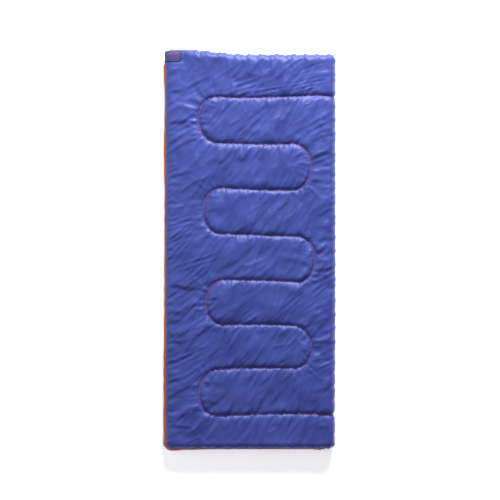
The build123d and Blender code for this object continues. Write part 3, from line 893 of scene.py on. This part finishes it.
pad_columns = np.arange(6, len(columns) - 6, 3)
pad_rows = np.arange(6, len(rows) - 6, 3)
pad_pick = np.ix_(pad_rows, pad_columns)
pad_top = upper[pad_pick].copy()
pad_top[..., 2] = np.minimum(pad_top[..., 2], bed[..., 2][pad_pick]) - 3.5 * MM
pad_bottom = pad_top.copy()
pad_bottom[..., 2] = UPPER_LINING_Z + 2.0 * MM + lining_groove[pad_pick]
pad_bottom[..., 2] += 0.45 * np.abs(upper[..., 2] - bed[..., 2])[pad_pick] + 1.0 * MM
pad_bottom[..., 2] = np.minimum(pad_bottom[..., 2], pad_top[..., 2] - 1 * MM)
pad_low_top, pad_low_bottom = pad_bottom.copy(), pad_top.copy()
pad_low_top[..., 2] = 2 * MID_Z - pad_bottom[..., 2]
pad_low_bottom[..., 2] = np.maximum(2 * MID_Z - pad_top[..., 2], 2.5 * MM)
for pad_name, pad_body, high_side, low_side in (
    ("upper_batting", "upper_half", pad_top, pad_bottom),
    ("lower_batting", "lower_half", pad_low_top, pad_low_bottom),
):
    pad = dress(pad_mesh("wadding_" + pad_body, high_side, low_side), wadding_material)
    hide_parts(pad_name)
    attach(pad, pad_body)
    print(pad.name, len(pad.data.polygons), "faces")

# %% [markdown]
# ## The quilting stitches
# Each stitch is a short bead of thread that dips into the cloth at both ends. Its thickness is drawn at
# about four times the real half millimetre, because a real stitch would not show from this far away.


# %% Stitches
def stitches(name, starts, ends, lift, thickness, colour_material):
    """One closed bead for each stitch: five rings of four points from a start to an end, and two caps."""
    count = len(starts)
    way = ends - starts
    length = np.linalg.norm(way, axis=1, keepdims=True)
    way = way / np.maximum(length, 1e-9)
    side = np.stack([-way[:, 1], way[:, 0], np.zeros(count)], 1)
    side = side / np.maximum(np.linalg.norm(side, axis=1, keepdims=True), 1e-9)
    up = np.cross(way, side)
    share = np.array([0, 0.14, 0.5, 0.86, 1.0])
    size = np.array([0.25, 0.85, 1.0, 0.85, 0.25]) * thickness / 2
    hump = np.array([-0.9, 0.35, 0.75, 0.35, -0.9]) * lift
    ring = np.array([[1, 0], [0, 1], [-1, 0], [0, -1]], float)
    centre = starts[:, None] + (ends - starts)[:, None] * share[:, None] + up[:, None] * hump[:, None]
    offset = ring[:, 0:1] * side[:, None, None] + 0.7 * ring[:, 1:2] * up[:, None, None]
    points = centre[:, :, None] + offset * size[None, :, None, None]
    one = grid_faces(5, 4, closed_columns=True)
    caps = np.array([[3, 2, 1, 0], [16, 17, 18, 19]])
    one = np.concatenate([one, caps])
    faces = (one[None] + 20 * np.arange(count)[:, None, None]).reshape(-1, 4)
    return dress(make_mesh(name, points, faces), colour_material)


# Bonded polyester thread: a warm orange-red with a slight shine, a little darker in places.
thread_material = speckled(
    "orange_polyester_thread", "#8e3526", "#d9562f", 0.5, 30.0, stops=(0.35, 0.62)
)[0]

seam = seam_line(0.5 * MM)
inside_fold = seam[:, 0] < 396 * MM
seam = seam[inside_fold]
run = np.concatenate([[0], np.cumsum(np.linalg.norm(np.diff(seam, axis=0), axis=1))])
STITCH = 4.6 * MM
places = np.arange(0, run[-1] - STITCH, STITCH)
first_x, first_y = np.interp(places, run, seam[:, 0]), np.interp(places, run, seam[:, 1])
second_x = np.interp(places + 0.84 * STITCH, run, seam[:, 0])
second_y = np.interp(places + 0.84 * STITCH, run, seam[:, 1])
starts, ends = on_cloth(first_x, first_y), on_cloth(second_x, second_y)
starts[:, 2] += 0.7 * MM
ends[:, 2] += 0.7 * MM
for seam_name, seam_body, cad_thread, mirror in (
    ("stitches_upper", "upper_half", "upper_quilting_thread", False),
    ("stitches_lower", "lower_half", "lower_quilting_thread", True),
):
    a, b = starts.copy(), ends.copy()
    if mirror:
        a[:, 2], b[:, 2] = 2 * MID_Z - a[:, 2], 2 * MID_Z - b[:, 2]
    made = stitches(seam_name, a, b, 0.6 * MM, 2.0 * MM, thread_material)
    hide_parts(cad_thread)
    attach(made, seam_body)
    print(seam_name, len(a), "stitches")

# %% [markdown]
# ## The zip
# The zip is two woven tapes with a moulded coil along each. The upper tape stands inside the shell's
# edge. The lower tape is wider: it turns outwards below the coil and is sewn to a hem that stands out
# past the upper half, so that from above it is the orange strip down the bag's side.

# %% Zip materials
tape_material, tape_tree, tape_shader = new_material("woven_orange_zip_tape")
tape_place = add_node(tape_tree, "UVMap", uv_map="cloth")
tape_ribs = add_node(tape_tree, "TexWave", [("Vector", tape_place.outputs[0])], bands_direction="X",
                     Scale=WAVE / (1.8 * MM))
tape_drift = add_node(tape_tree, "TexNoise", [("Vector", tape_place.outputs[0])], Scale=14.0, Detail=3.0)
tape_colour = ramp(tape_tree, tape_drift.outputs[0], [(0.3, "#e0602f"), (0.7, "#f07a45")])
tape_tree.links.new(tape_colour.outputs[0], tape_shader.inputs["Base Color"])
add_bump(tape_tree, tape_shader, tape_ribs.outputs["Fac"], 0.5, 0.25 * MM)
set_sockets(tape_shader, Roughness=0.7)

# Nylon monofilament: smooth, so its low roughness gives each turn of the coil a small highlight.
coil_material = speckled("orange_nylon_coil", "#d85527", "#ee6b39", 0.35, 90.0)[0]

# %% Tapes
tape_length = SIDE_LENGTH + CORNER_LENGTH + FOOT_LENGTH
tape_steps = np.linspace(0, tape_length, 700)
flare = flare_at(tape_steps)
section_out = np.array([0.0, 0.0, 0.0, 0.22, 0.6, 0.92, 1.02, 1.06])
section_above = -np.array([3.7, 5.0, 6.3, 7.4, 8.3, 9.2, 11.4, 15.0]) * MM
lower_tape_out = section_out * (flare[:, None] + 1.0 * MM)
lower_tape_points = zip_place(tape_steps[:, None], lower_tape_out, section_above[None])
upper_above = np.array([3.7, 6.0, 9.0, 12.0, 13.6]) * MM
upper_tape_points = zip_place(tape_steps[:, None], 0 * upper_above[None], upper_above[None])
for tape_name, tape_points, cad_tape, tape_body, turned in (
    ("zip_tape_lower_cloth", lower_tape_points, "zip_tape_lower", "lower_half", True),
    ("zip_tape_upper_cloth", upper_tape_points, "zip_tape_upper", "upper_half", False),
):
    section_count = tape_points.shape[1]
    tape_across = np.linspace(0, 0.014, section_count)
    tape_uv = np.stack(np.broadcast_arrays(tape_steps[:, None], tape_across[None]), -1)
    tape_faces = grid_faces(len(tape_steps), section_count)
    tape = make_mesh(tape_name, tape_points, tape_faces if turned else tape_faces[:, ::-1], uv=tape_uv)
    dress(tape, tape_material)
    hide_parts(cad_tape)
    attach(tape, tape_body)
    print(tape_name, len(tape_faces), "faces")


# %% Coils
def coil_mesh(name, along_start, along_end, side):
    """A flattened helix of wire: n = 1.1 cos t, w = 2.4 + 1.25 sin t in mm, one turn for each 2.4 mm."""
    pitch, around, sections, wire = 2.4 * MM, 8, 4, 0.34 * MM
    turns = int((along_end - along_start - 2 * wire) / pitch)
    t = np.arange(turns * around + 1) * (2 * math.pi / around)
    along = along_start + wire + t / (2 * math.pi) * pitch
    out, above = 1.12 * MM * np.cos(t), side * (2.4 * MM + 1.24 * MM * np.sin(t))
    centre = zip_place(along, out, above)
    way = np.gradient(centre, axis=0)
    way = way / np.linalg.norm(way, axis=1, keepdims=True)
    out_way = zip_place(along, out + 1 * MM, above) - centre
    out_way = out_way / np.linalg.norm(out_way, axis=1, keepdims=True)
    first = np.cross(way, out_way)
    first = first / np.linalg.norm(first, axis=1, keepdims=True)
    second = np.cross(first, way)
    angles = np.arange(sections) * (2 * math.pi / sections)
    ring = first[:, None] * np.cos(angles)[None, :, None] + second[:, None] * np.sin(angles)[None, :, None]
    points = centre[:, None] + ring * wire
    faces = grid_faces(len(t), sections, closed_columns=True)
    last_ring = (len(t) - 1) * sections
    caps = np.array([[3, 2, 1, 0], [last_ring, last_ring + 1, last_ring + 2, last_ring + 3]])
    return dress(make_mesh(name, points, np.concatenate([faces, caps])[:, ::-1]), coil_material)


for coil_name, box_high, side, cad_coil, coil_body in (
    ("coil_lower_wire", coil_high, -1, "zip_coil_lower", "lower_half"),
    ("coil_upper_wire", upper_coil_high, 1, "zip_coil_upper", "upper_half"),
):
    coil_start = tape_high.y - box_high.y
    coil_end = FOOT_START + box_high.x - ZIP_X - ZIP_CORNER
    coil = coil_mesh(coil_name, coil_start, coil_end, side)
    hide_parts(cad_coil)
    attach(coil, coil_body)
    print(coil_name, len(coil.data.polygons), "faces")

# %% [markdown]
# ## The closure tab
# A short length of ribbed webbing is sewn to the upper half at its right end, lies over the head of the
# zip and turns down over its side, where a hook patch holds it. Its foot edge, cut corner and sewn end are
# bound in black. The plain zigzag on top stands where the real tab has decorative stitching.

# %% Tab surface
tab_low, tab_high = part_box("tab_webbing")
HINGE_X = tab_high.x
LIP_X = tab_low.x + 0.4 * MM
TAB_FOOT_Y, TAB_HEAD_Y = tab_low.y, tab_high.y


def tab_profile(y_line, count):
    """The tab's line over the bag at one y: along the cloth from its sewn end, then down the side."""
    top_x = np.linspace(HINGE_X, shell_low.x + 0.5 * MM, 60)
    top = on_cloth(top_x, np.full(60, min(y_line, HEAD_Y - 1 * MM)))
    ridge = 61 * MM - 14 * MM * smooth((y_line - 0.915) / 0.03)
    over_x = np.array([-402.6, -403.8, LIP_X / MM, LIP_X / MM]) * MM
    over_z = np.array([ridge - 4 * MM, ridge - 8 * MM, 40 * MM, tab_low.z])
    line_x = np.concatenate([top_x[:-3], over_x])
    line_z = np.concatenate([top[:-3, 2] + 1.5 * MM, over_z])
    run = np.concatenate([[0], np.cumsum(np.hypot(np.diff(line_x), np.diff(line_z)))])
    even = np.linspace(0, run[-1], count)
    out_x, out_z = np.interp(even, run, line_x), np.interp(even, run, line_z)
    for line in [out_x, out_z] * 6:
        line[1:-1] = line[1:-1] * 0.5 + (line[:-2] + line[2:]) * 0.25
    return np.stack([out_x, np.full(count, y_line), out_z], 1)


TAB_COUNT = 70
tab_ys = np.linspace(TAB_FOOT_Y, TAB_HEAD_Y, 30)
tab_grid = np.stack([tab_profile(y_line, TAB_COUNT) for y_line in tab_ys])
for _ in range(3):
    tab_grid[1:-1, :, 2] = tab_grid[1:-1, :, 2] * 0.5 + (tab_grid[:-2, :, 2] + tab_grid[2:, :, 2]) * 0.25
CUT = 12 * MM
tab_run = np.linspace(0, float(np.linalg.norm(np.diff(tab_grid[15], axis=0), axis=1).sum()), TAB_COUNT)


def on_tab(along, y_line, above=0.0):
    """A place on the tab: along its length from the sewn end, at one y, raised above its face."""
    i = np.interp(along, tab_run, np.arange(TAB_COUNT))
    j = np.interp(y_line, tab_ys, np.arange(len(tab_ys)))
    i0, j0 = np.clip(i.astype(int), 0, TAB_COUNT - 2), np.clip(j.astype(int), 0, len(tab_ys) - 2)
    way = tab_grid[j0, i0 + 1] - tab_grid[j0, i0]
    normal = np.stack([way[..., 2], 0 * way[..., 0], -way[..., 0]], -1)
    normal = normal / np.linalg.norm(normal, axis=-1, keepdims=True)
    return between(tab_grid, i, j) + normal * np.asarray(above)[..., None]


# %% Tab materials
webbing_material, webbing_tree, webbing_shader = new_material("ribbed_blue_webbing")
webbing_place = add_node(webbing_tree, "UVMap", uv_map="cloth")
webbing_ribs = add_node(webbing_tree, "TexWave", [("Vector", webbing_place.outputs[0])], bands_direction="Y",
                        Scale=WAVE / (2.6 * MM))
# Painted shade: the colour follows the ribs' bump, so each groove between the ribs is painted a darker navy
# and each rib top lighter.
webbing_groove_shade = ramp(webbing_tree, webbing_ribs.outputs["Fac"], [(0.2, "#1b2352"), (0.8, "#313d88")])
webbing_tree.links.new(webbing_groove_shade.outputs[0], webbing_shader.inputs["Base Color"])
add_bump(webbing_tree, webbing_shader, webbing_ribs.outputs["Fac"], 0.8, 0.6 * MM)
set_sockets(webbing_shader, Roughness=0.65)

binding_material = speckled("black_grosgrain_binding", "#0b0c12", "#1d1f2b", 0.75, 400.0, 3.0)[0]

# %% Webbing, binding and zigzag
web_along, web_y = np.meshgrid(tab_run, tab_ys)
cut_back = np.clip(CUT - (web_y - TAB_FOOT_Y), 0, CUT)
web_along = cut_back + web_along * (tab_run[-1] - cut_back) / tab_run[-1]
web_face = on_tab(web_along, web_y, 0.5 * MM)
web_back = on_tab(web_along, web_y, -0.5 * MM)
half = len(tab_ys) * TAB_COUNT
web_faces = grid_faces(len(tab_ys), TAB_COUNT)
rim_number = np.arange(half).reshape(len(tab_ys), TAB_COUNT)
rim = np.concatenate([rim_number[0, :-1], rim_number[:-1, -1], rim_number[-1, :0:-1], rim_number[:0:-1, 0]])
rim_next = np.roll(rim, -1)
rim_faces = np.stack([rim, rim_next, rim_next + half, rim + half], 1)
web_points = np.concatenate([web_face.reshape(-1, 3), web_back.reshape(-1, 3)])
web_uv = np.concatenate([np.stack([web_along, web_y], -1).reshape(-1, 2)] * 2)
all_faces = np.concatenate([web_faces[:, ::-1], web_faces + half, rim_faces])
webbing = dress(make_mesh("tab_webbing_cloth", web_points, all_faces, uv=web_uv), webbing_material)
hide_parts("tab_webbing")
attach(webbing, "closure_tab")

inset = 1.9 * MM
legs = [
    np.stack([np.linspace(tab_run[-1] - 1 * MM, CUT, 60), np.full(60, TAB_FOOT_Y + inset)], 1),
    np.stack([np.linspace(CUT, inset, 14), np.linspace(TAB_FOOT_Y + inset, TAB_FOOT_Y + CUT, 14)], 1)[1:],
    np.stack([np.full(40, inset), np.linspace(TAB_FOOT_Y + CUT, TAB_HEAD_Y, 40)], 1)[1:],
]
path = np.concatenate(legs)
path_way = np.gradient(path, axis=0)
path_way = path_way / np.linalg.norm(path_way, axis=1, keepdims=True)
path_side = np.stack([-path_way[:, 1], path_way[:, 0]], 1)
profile = [[-2.2, 0.2], [-1.9, 1.1], [0, 1.25], [1.9, 1.1], [2.2, 0.2], [1.9, -0.9], [0, -0.95], [-1.9, -0.9]]
profile = np.array(profile) * MM
spots = path[:, None] + path_side[:, None] * profile[None, :, 0:1]
binding_y = np.clip(spots[..., 1], TAB_FOOT_Y, TAB_HEAD_Y)
binding_points = on_tab(spots[..., 0], binding_y, np.broadcast_to(profile[None, :, 1], spots.shape[:2]))
binding_faces = grid_faces(len(path), 8, closed_columns=True)
end = (len(path) - 1) * 8
caps = np.array([[0, 1, 2, 3], [0, 3, 4, 7], [4, 5, 6, 7]])
caps = np.concatenate([caps, caps[:, ::-1] + end])
binding_faces = np.concatenate([binding_faces[:, ::-1], caps])
binding = dress(make_mesh("tab_binding_ribbon", binding_points, binding_faces), binding_material)
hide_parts("tab_binding")
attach(binding, "closure_tab")

zig_low, zig_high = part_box("tab_zigzag_stitch")
corners = 13
zig_along = HINGE_X - np.linspace(zig_high.x, zig_low.x, corners)
zig_y = np.where(np.arange(corners) % 2 == 0, zig_high.y - 2 * MM, zig_low.y + 2 * MM)
zig_start = on_tab(zig_along[:-1], zig_y[:-1], 0.9 * MM)
zig_end = on_tab(zig_along[1:], zig_y[1:], 0.9 * MM)
zigzag = stitches("tab_zigzag_thread", zig_start, zig_end, 0.5 * MM, 2.0 * MM, thread_material)
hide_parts("tab_zigzag_stitch")
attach(zigzag, "closure_tab")
print("tab length", round(float(tab_run[-1]) * 1000, 1), "mm")

# %% [markdown]
# ## The zip's metal and plastic
# The sliders, their pulls, the stops and the closed end are hard parts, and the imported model's own shapes
# are kept for them. They only get their finishes: orange enamel, nickel plate and moulded plastic.


# %% Finishes for the hard parts
def hard_finish(name, dark, light, roughness, metallic, coat):
    """A hard finish with a faint shade change and a slightly uneven roughness, as handled metal has."""
    material, tree, shader, noise = speckled(name, dark, light, roughness, 350.0, 4.0)
    rough = add_node(tree, "MapRange", [("Value", noise.outputs[0])])
    set_sockets(rough, To_Min=roughness * 0.8, To_Max=roughness * 1.25)
    tree.links.new(rough.outputs[0], shader.inputs["Roughness"])
    set_sockets(shader, Metallic=metallic, Coat_Weight=coat)
    return material


def pile_finish(name, dark, light):
    """Hook-and-loop tape: a dense field of small loops, drawn as cells about 1.2 mm apart."""
    material, tree, shader = new_material(name)
    place = add_node(tree, "TexCoord")
    cells = add_node(tree, "TexVoronoi", [("Vector", place.outputs["Object"])], Scale=830.0)
    colour = ramp(tree, cells.outputs["Distance"], [(0.1, light), (0.6, dark)])
    tree.links.new(colour.outputs[0], shader.inputs["Base Color"])
    add_bump(tree, shader, cells.outputs["Distance"], 0.9, 0.5 * MM)
    set_sockets(shader, Roughness=0.95)
    return material


enamel = hard_finish("orange_enamelled_zinc", "#d24f22", "#e2602f", 0.3, 0.0, 0.6)
nickel = hard_finish("nickel_plated_stop", "#8d8f92", "#b4b6b8", 0.28, 1.0, 0.0)
acetal = hard_finish("moulded_orange_acetal", "#c94d22", "#da5c2e", 0.4, 0.0, 0.0)
loops = pile_finish("black_loop_tape", "#0c0d13", "#2a2d3c")
FINISHES = (
    (enamel, "slider_paint", (
        "head_slider_body", "head_slider_outer_bail", "head_slider_inner_bail", "head_pull_outer",
        "head_pull_inner", "foot_slider_body", "foot_slider_bail", "foot_pull",
    )),
    (nickel, "stop_metal", ("zip_top_stop_lower", "zip_top_stop_upper")),
    (acetal, "retainer_plastic", ("zip_retainer_box", "zip_insertion_pin")),
    (loops, "hook_and_loop", ("loop_patch", "tab_hook_patch")),
)
for finish, slot_name, cad_names in FINISHES:
    for cad_name in cad_names:
        dress(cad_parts[cad_name], finish)
print("hard parts finished")
